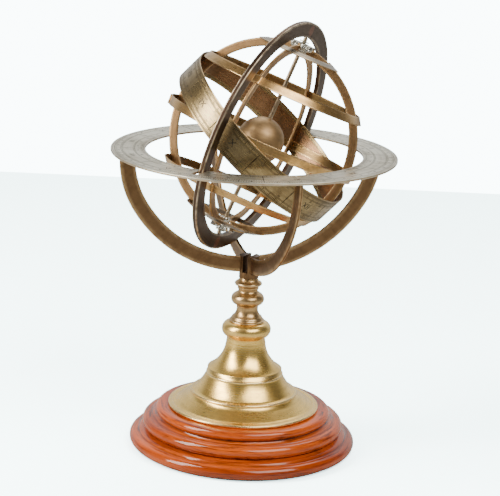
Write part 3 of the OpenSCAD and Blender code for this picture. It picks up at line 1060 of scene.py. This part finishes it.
class ARMILLARY_OT_cage(bpy.types.Operator):
    """Bend the colures, the tropics, the polar rings and the equator"""

    bl_idname = "armillary.cage"
    bl_label = "Cage of rings"

    def execute(self, context):
        metals, shape, _ = settings()
        rounding, lap_thick, lap_sunk, lap_long = 0.6 * shape.edge_round, 0.7 * MM, 0.2 * MM, 7.5 * MM
        for i, side in enumerate(("east", "north", "west", "south")):
            node = "colure_" + side
            half = turned_place(SPHERE, 2, i * TAU / 4)
            plane = (half[0], np.array([half[1][2], half[1][0], half[1][1]]))
            bore, outer, low, high = reach(node, plane)
            gap = math.asin(local_points(node, plane)[:, 1].min() / outer)
            section, edge = box_section(bore, outer, low, high, 0.7 * shape.edge_round, 3, 3)
            points = around(plane, section, 160, (gap, math.pi - gap), 0.06 * MM, 20 + i)
            ring = grid_object("half_ring_" + side, points, "sphere", (node,), "colure_brass", edge, False)
            paint(ring, brass("Colure " + side, plane, (0.5, 0.3, 0.14), roughness=0.36, size=0.03,
                              marks=0.15))
        for i, (node, lap_angle) in enumerate(HOOPS):
            latitude, inner, outer, half_width = strip_size(node, SPHERE)
            section, edge = box_section(inner, outer, -half_width, half_width, rounding, 3, 5)
            points = around(SPHERE, tilted(section, latitude), 256, drift=0.08 * MM, seed=30 + i)
            slot, colour = "strip_brass", metals.strip
            if node.startswith("polar"):
                slot, colour = "grey_strip_brass", (0.38, 0.33, 0.25)
            name = node.replace("_ring", "")
            hoop = grid_object(name + "_hoop", points, "sphere", (node,), slot, edge)
            finish = brass(node.replace("_", " "), SPHERE, colour, roughness=0.27, cover=0.35, size=0.03,
                           fineness=1100.0, inside=(scaled(colour, 0.35), (inner + outer) / 2))
            paint(hoop, finish)
            section, edge = box_section(outer - lap_sunk, outer + lap_thick, -half_width, half_width,
                                        0.2 * MM, 2)
            start = math.radians(lap_angle)
            points = around(SPHERE, tilted(section, latitude), 10, (start, start + lap_long / outer))
            paint(grid_object(name + "_lap", points, "sphere", (), slot, edge, False), finish)
        return {"FINISHED"}


# Heights of the border lines, then each scale's axis, divisions, start, end and width, in millimetres
ZODIAC_LINES = (-9.4, -8.8, -6.2, -5.6, 5.6, 6.2, 8.8, 9.4)
ZODIAC_SCALES = (("height", 360, -8.8, -7.4, 0.4), ("height", 72, -8.8, -6.2, 0.5),
                 ("height", 12, -5.6, 5.6, 0.7), ("height", 360, 7.4, 8.8, 0.4),
                 ("height", 72, 6.2, 8.8, 0.5))


class ARMILLARY_OT_zodiac(bpy.types.Operator):
    """Bend the wide zodiac band and cut its scales and numbers"""

    bl_idname = "armillary.zodiac"
    bl_label = "Zodiac band"

    def execute(self, context):
        metals, shape, _ = settings()
        band = turned_place(turned_place(SPHERE, 2, shape.band_turn), 1, shape.obliquity)
        _, inner, outer, half_width = strip_size("zodiac_band", band)
        section, edge = box_section(inner, outer, -half_width, half_width, 0.6 * shape.edge_round, 3, 60)
        outside = section[:, 0] > outer - 1e-7
        cut = groove_depth(section[:, 1], np.array(ZODIAC_LINES) * MM, 1.2 * shape.groove_width) * outside
        section[:, 0] -= shape.groove_depth * cut
        points = around(band, section, 384, drift=0.05 * MM, seed=60)
        ring = grid_object("engraved_zodiac", points, "sphere", ("zodiac_band",),
                           "engraved_silvered_brass", edge)
        marked(ring, "groove", np.tile(cut, 384))
        paint(ring, brass("Engraved zodiac", band, (0.4, 0.3, 0.15), (0.09, 0.055, 0.024), roughness=0.25,
                          cover=0.42, size=0.035, fineness=800.0, marks=0.15, wear=0.5,
                          scales=in_metres(ZODIAC_SCALES), grooves=True,
                          inside=((0.3, 0.165, 0.085), (inner + outer) / 2)))

        ink = engraved_ink("Zodiac ink")
        for name, labels, offset, size in (("zodiac_signs", ROMAN, 0.0, 6.4 * MM),
                                           ("zodiac_degrees_high", TO_THIRTY, 4.4 * MM, 2.2 * MM),
                                           ("zodiac_degrees_low", TO_THIRTY, -4.4 * MM, 2.2 * MM)):
            def lay(angle, along, up, out, offset=offset):
                return round_axis(band, angle + along / outer, outer + out, up + offset)

            number_object(name, labels, size, 0.04 * MM, lay, "sphere", ink)
        paint("zodiac_pins", brass("Pin brass", SPHERE, metals.strip, size=0.004))
        return {"FINISHED"}


class ARMILLARY_OT_solder(bpy.types.Operator):
    """Lay the lumpy solder over both poles"""

    bl_idname = "armillary.solder"
    bl_label = "Polar solder"

    def execute(self, context):
        metals = settings()[0]
        _, hub_r, foot, top = reach("pole_hub_north", SPHERE)
        spread, hole_r, crown_r, lump_size, lump_depth = 9.6 * MM, 1.6 * MM, top - 0.3 * MM, 15 * MM, 0.42
        across = np.linspace(spread, hole_r, 40)
        cap = np.stack([across, np.sqrt(crown_r ** 2 - across ** 2)], -1)
        rim = arc((spread - 2 * MM, cap[0, 1] - 2.2 * MM), 2 * MM, -80, -5, 8)
        outline = np.concatenate([[(hole_r, foot), (hub_r - 2 * MM, foot), (hub_r, foot + 2 * MM)], rim, cap])
        length = np.concatenate([[0], np.cumsum(np.linalg.norm(np.diff(outline, axis=0), axis=1))])
        steps = np.linspace(0, 1, 140)
        outline = np.stack([np.interp(steps, length / length[-1], outline[:, i]) for i in (0, 1)], -1)
        free = np.clip((outline[:, 0] - hole_r) / (1.5 * MM), 0, 1)[None, :, None]
        for side, name in ((1, "north"), (-1, "south")):
            place = SPHERE if side > 0 else turned_place(SPHERE, 0, math.pi)
            points = around(place, outline, 180)
            middle = place[0] + place[1][2] * (top - 5 * MM)
            lump = np.abs(rough_field(points - place[0], lump_size, 70 + side))
            points = points + (middle - points) * lump[..., None] * free * lump_depth
            piece = grid_object("solder_" + name, points, "sphere", ("pole_hub_" + name,), "silver_solder")
            paint(piece, brass("Solder " + name, place, metals.solder, (0.24, 0.23, 0.2), (0.9, 0.9, 0.88),
                               roughness=0.24, cover=0.35, size=0.012, fineness=100.0, marks=0.0, wear=0.0))
        return {"FINISHED"}


class ARMILLARY_OT_fasteners(bpy.types.Operator):
    """Finish the washer, the nut and the tie rod under the base"""

    bl_idname = "armillary.fasteners"
    bl_label = "Fasteners"

    def execute(self, context):
        for node in ("base_washer", "base_nut", "tie_rod"):
            paint(node, brass(node.replace("_", " "), STAND, (0.5, 0.5, 0.5), (0.2, 0.18, 0.16),
                              (0.8, 0.8, 0.8), roughness=0.35, size=0.01))
        return {"FINISHED"}


# ---- the stage ----

def at_bearing(azimuth, distance, height):
    """A point at an azimuth round the object from the front, a level distance and a height."""
    return Vector((distance * math.sin(azimuth), -distance * math.cos(azimuth), height))


def aimed(azimuth, pitch, roll=0.0):
    """Rotation of a camera or light that looks from an azimuth round the object, down by pitch."""
    cos, sin = math.cos(azimuth), math.sin(azimuth)
    ahead = Vector((-sin * math.cos(pitch), cos * math.cos(pitch), -math.sin(pitch)))
    right = Vector((cos, sin, 0))
    up = right.cross(ahead)
    right, up = (right * math.cos(roll) + up * math.sin(roll), up * math.cos(roll) - right * math.sin(roll))
    return Matrix((right, up, -ahead)).transposed().to_4x4()


LIGHT_AIM = Vector((0, 0, 0.15))
LIGHT_COLOUR = (1.0, 0.95, 0.87)

# Azimuth from the camera's and elevation in degrees, distance and size in metres, power in watts
SOFTBOXES = (("Left softbox", -70, 33, 1.5, (0.55, 1.3), 36.0),
             ("Right softbox", 40, 47, 1.5, (1.1, 0.9), 24.0),
             ("Back softbox", 170, 55, 1.6, (1.2, 0.8), 9.0))


def softbox(name, azimuth, elevation, distance, size, power):
    """A rectangular area light at an azimuth and elevation from the object, turned towards it."""
    light = bpy.data.lights.new(name, "AREA")
    light.shape = "RECTANGLE"
    light.size, light.size_y = size
    light.energy = power
    light.color = LIGHT_COLOUR
    made = bpy.data.objects.new(name, light)
    bpy.context.scene.collection.objects.link(made)
    spot = at_bearing(azimuth, distance * math.cos(elevation), distance * math.sin(elevation))
    made.matrix_world = Matrix.Translation(spot + LIGHT_AIM) @ aimed(azimuth, elevation)


class ARMILLARY_OT_stage(bpy.types.Operator):
    """Set the camera, the pale table, the softboxes and the surroundings"""

    bl_idname = "armillary.stage"
    bl_label = "Stage"

    def execute(self, context):
        stage = settings()[2]
        camera = bpy.data.cameras.new("Camera")
        camera.lens = stage.lens
        camera.sensor_width = 36.0
        camera.clip_end = 20.0
        view = bpy.data.objects.new("Camera", camera)
        context.scene.collection.objects.link(view)
        spot = at_bearing(stage.azimuth, stage.distance, stage.height)
        view.matrix_world = Matrix.Translation(spot) @ aimed(stage.azimuth, stage.pitch, stage.roll)
        context.scene.camera = view
        self.table(stage)
        for name, azimuth, elevation, *rest in SOFTBOXES:
            softbox(name, stage.azimuth + math.radians(azimuth), math.radians(elevation), *rest)
        self.surroundings(context.scene, stage)
        return {"FINISHED"}

    def table(self, stage):
        """A level pale sheet whose far edge lies straight behind the object. It is lighter where the
        camera sees it than in the object's reflections."""
        across = np.linspace(-stage.table_back, stage.table_back, 9)
        x, y = np.meshgrid(across * 2.4, across, indexing="ij")
        points = onto(turned_place(STAND, 2, stage.azimuth), x, y, 0.0).reshape(-1, 3)
        floor = new_object("table", points, grid_cells(*x.shape).tolist())
        bpy.context.scene.collection.objects.link(floor)
        made, w = new_material("Pale table")
        reflected = w.add("ShaderNodeBsdfPrincipled", {"Base Color": (0.52, 0.53, 0.51, 1), "Roughness": 0.6,
                                                       "Specular IOR Level": 0.2})
        glow = w.add("ShaderNodeEmission", {"Color": (0.66, 0.95, 1.0, 1), "Strength": 2.2})
        lit = w.add("ShaderNodeBsdfDiffuse", {"Color": (2.96, 3.8, 4.0, 1)})
        direct = w.add("ShaderNodeAddShader", {0: lit.outputs[0], 1: glow.outputs[0]})
        seen = w.add("ShaderNodeLightPath").outputs["Is Camera Ray"]
        w.finish(w.add("ShaderNodeMixShader", {0: seen, 1: reflected.outputs[0], 2: direct.outputs[0]}))
        paint(floor, made)

    def surroundings(self, scene, stage):
        """Pale behind the object where the camera looks, and in the reflections a dimmer room with a
        pale backdrop behind the object."""
        world = bpy.data.worlds.new("Surroundings")
        world.use_nodes = True
        world.node_tree.nodes.clear()
        w = Wiring(world.node_tree)
        direction = w.add("ShaderNodeTexCoord").outputs["Generated"]
        height = w.apart(direction)[2]
        room = w.mix(w.between(height, -0.1, 0.7), (0.75, 0.75, 0.74), (0.12, 0.11, 0.1))
        behind = (-math.sin(stage.azimuth), math.cos(stage.azimuth), 0.2)
        facing = w.add("ShaderNodeVectorMath", {0: direction, 1: behind}, operation="DOT_PRODUCT")
        backdrop = w.times(w.between(facing.outputs["Value"], 0.45, 0.85), w.between(height, -0.1, 0.0))
        dim = w.add("ShaderNodeBackground", {"Color": w.mix(backdrop, room, (2.4, 2.45, 2.45)),
                                             "Strength": 0.4})
        pale = w.add("ShaderNodeBackground", {"Color": (0.84, 0.98, 1.0, 1), "Strength": 12.0})
        seen = w.add("ShaderNodeLightPath").outputs["Is Camera Ray"]
        w.finish(w.add("ShaderNodeMixShader", {0: seen, 1: dim.outputs[0], 2: pale.outputs[0]}),
                 "ShaderNodeOutputWorld")
        scene.world = world


OPERATORS = (ARMILLARY_OT_wood_base, ARMILLARY_OT_foot, ARMILLARY_OT_cradle, ARMILLARY_OT_horizon,
             ARMILLARY_OT_meridian, ARMILLARY_OT_axis, ARMILLARY_OT_cage, ARMILLARY_OT_zodiac,
             ARMILLARY_OT_solder, ARMILLARY_OT_fasteners, ARMILLARY_OT_stage)


class ARMILLARY_PT_panel(bpy.types.Panel):
    """Buttons for every group of pieces"""

    bl_idname = "ARMILLARY_PT_panel"
    bl_label = "Armillary Sphere"
    bl_space_type = "VIEW_3D"
    bl_region_type = "UI"
    bl_category = "Armillary"

    def draw(self, context):
        for operator in OPERATORS:
            self.layout.operator(operator.bl_idname)


GROUPS = (("armillary_metals", ArmillaryMetals), ("armillary_shape", ArmillaryShape),
          ("armillary_stage", ArmillaryStage))


def register():
    """Registers the settings, the operators and the panel."""
    for name, group in GROUPS:
        bpy.utils.register_class(group)
        setattr(bpy.types.Scene, name, bpy.props.PointerProperty(type=group))
    for operator in OPERATORS:
        bpy.utils.register_class(operator)
    bpy.utils.register_class(ARMILLARY_PT_panel)


def unregister():
    """Takes everything back out, in reverse."""
    bpy.utils.unregister_class(ARMILLARY_PT_panel)
    for operator in reversed(OPERATORS):
        bpy.utils.unregister_class(operator)
    for name, group in reversed(GROUPS):
        delattr(bpy.types.Scene, name)
        bpy.utils.unregister_class(group)


def main():
    """Builds every piece in order."""
    register()
    for operator in OPERATORS:
        family, name = operator.bl_idname.split(".")
        getattr(getattr(bpy.ops, family), name)()


if __name__ == "__main__":
    main()
